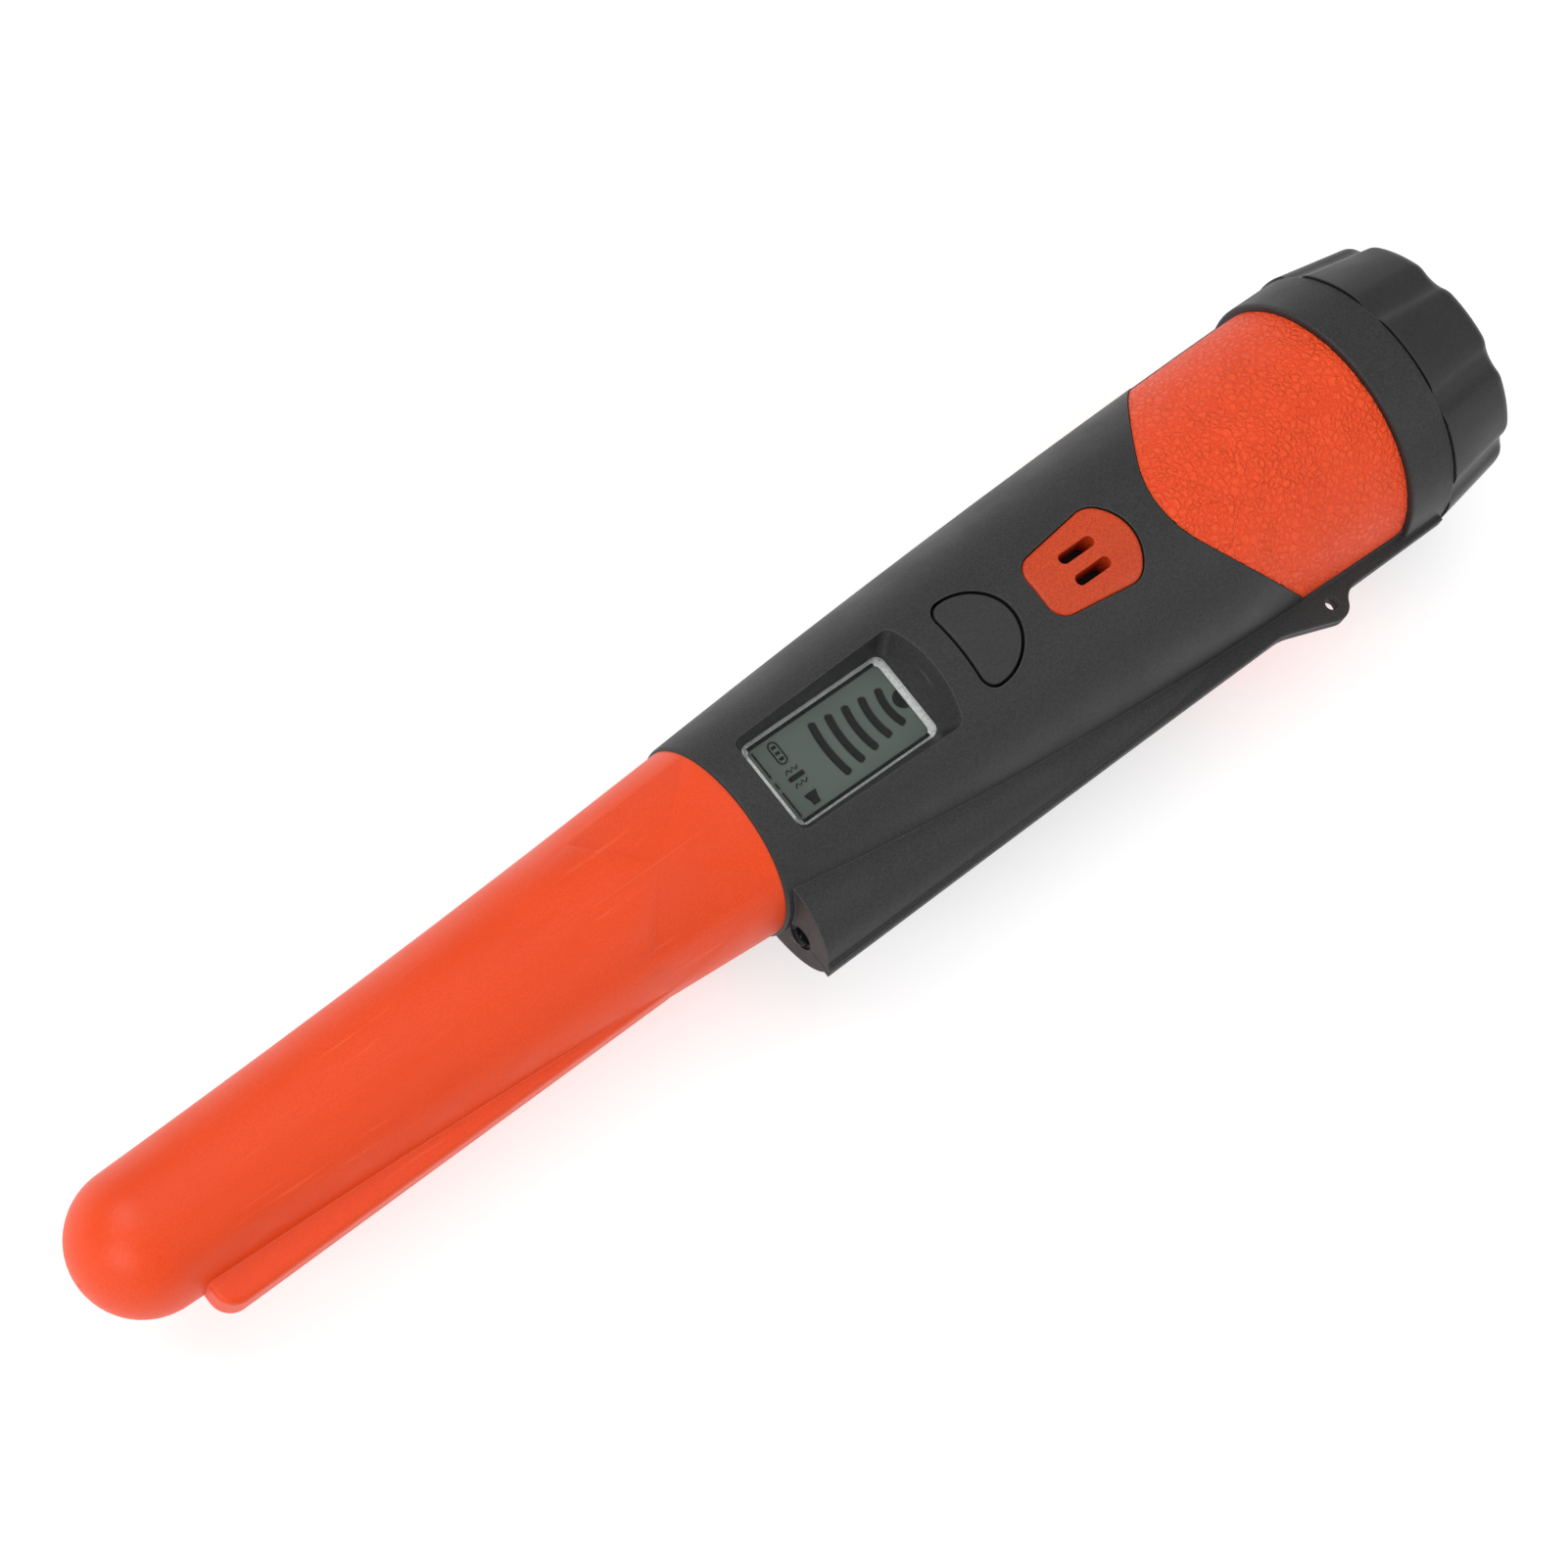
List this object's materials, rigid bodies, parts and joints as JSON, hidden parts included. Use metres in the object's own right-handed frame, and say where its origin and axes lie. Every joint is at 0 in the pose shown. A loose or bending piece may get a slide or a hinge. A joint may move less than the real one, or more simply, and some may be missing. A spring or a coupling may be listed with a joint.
{
  "type": "pinpointing metal detector",
  "caption": "Handheld pinpointing metal detector: flared probe with scraper blade, two-shell handle with display, power button, speaker, lamp ridge and screw-off battery cap.",
  "frame": {"origin": "centre of the battery cap's flat end face", "axes": "+X from the probe's tip to the battery cap along the axis, +Z out through the display, lamp ridge on the -Y side"},
  "size_m": [0.247, 0.0473, 0.0434],
  "materials": {
    "probe_plastic": "satin moulded ABS",
    "rubber_seal": "smooth",
    "ferrite": "fine matte",
    "bobbin_plastic": "satin",
    "copper_winding": "enamelled wire",
    "shell_plastic": "fine spark-eroded grain",
    "grip_rubber": "leather-grained soft overmould",
    "clear_lens": "polished",
    "white_foam": "foam tape",
    "lcd_glass": "grey-green LCD",
    "backlight_plastic": "milky",
    "button_plastic": "fine grain",
    "switch_metal": "plain",
    "cover_plastic": "satin",
    "black_mesh": "fine mesh",
    "buzzer_plastic": "satin",
    "lamp_lens": "clear dome",
    "board_green": "solder mask",
    "chip_plastic": "epoxy",
    "screw_steel": "zinc plated",
    "weight_metal": "sintered",
    "tube_plastic": "satin",
    "battery_case": "satin lacquer",
    "cap_plastic": "satin",
    "black_foam": "closed-cell foam"
  },
  "bodies": {
    "handle": {"probe_shell": "probe_plastic", "probe_seal": "rubber_seal", "ferrite_rod": "ferrite", "coil_bobbin": "bobbin_plastic", "search_coil": "copper_winding", "upper_shell": "shell_plastic", "lower_shell": "shell_plastic", "grip_inlay_upper": "grip_rubber", "grip_inlay_lower": "grip_rubber", "display_window": "clear_lens", "window_gasket": "white_foam", "display_panel": "lcd_glass", "display_backlight": "backlight_plastic", "tact_switch": "switch_metal", "speaker_cover": "cover_plastic", "speaker_membrane": "black_mesh", "buzzer": "buzzer_plastic", "led_lamp": "lamp_lens", "led_holder": "bobbin_plastic", "main_board": "board_green", "board_chips": "chip_plastic", "board_screws": "screw_steel", "shell_screws": "screw_steel", "vibration_motor": "switch_metal", "motor_sleeve": "rubber_seal", "battery_tube": "tube_plastic", "cap_seal": "rubber_seal", "battery_9v": "battery_case", "battery_terminals": "switch_metal", "battery_snap": "chip_plastic", "snap_contacts": "switch_metal"},
    "button": {"power_button": "button_plastic", "switch_plunger": "bobbin_plastic"},
    "vibrator": {"motor_shaft": "screw_steel", "motor_weight": "weight_metal"},
    "cap_carrier": {"cap_pad": "black_foam", "pad_pin": "bobbin_plastic"},
    "cap": {"battery_cap": "cap_plastic"}
  },
  "joints": [
    {"name": "button_press", "type": "slide", "parent": "handle", "child": "button", "axis": [0, 0, -1], "range_m": [0, 0.0006], "stiffness_N_per_m": 1500},
    {"name": "motor_spin", "type": "hinge", "parent": "handle", "child": "vibrator", "pos_m": [-0.0935, 0, -0.0085], "axis": [1, 0, 0], "continuous": true},
    {"name": "cap_slide", "type": "slide", "parent": "handle", "child": "cap_carrier", "axis": [1, 0, 0], "range_m": [0, 0.012]},
    {"name": "cap_turn", "type": "hinge", "parent": "cap_carrier", "child": "cap", "pos_m": [0, 0, 0], "axis": [1, 0, 0], "range_deg": [0, 1080]}
  ],
  "couplings": [
    {"joint": "cap_turn", "follows": "cap_slide", "rad_per_m": 1570.8}
  ]
}
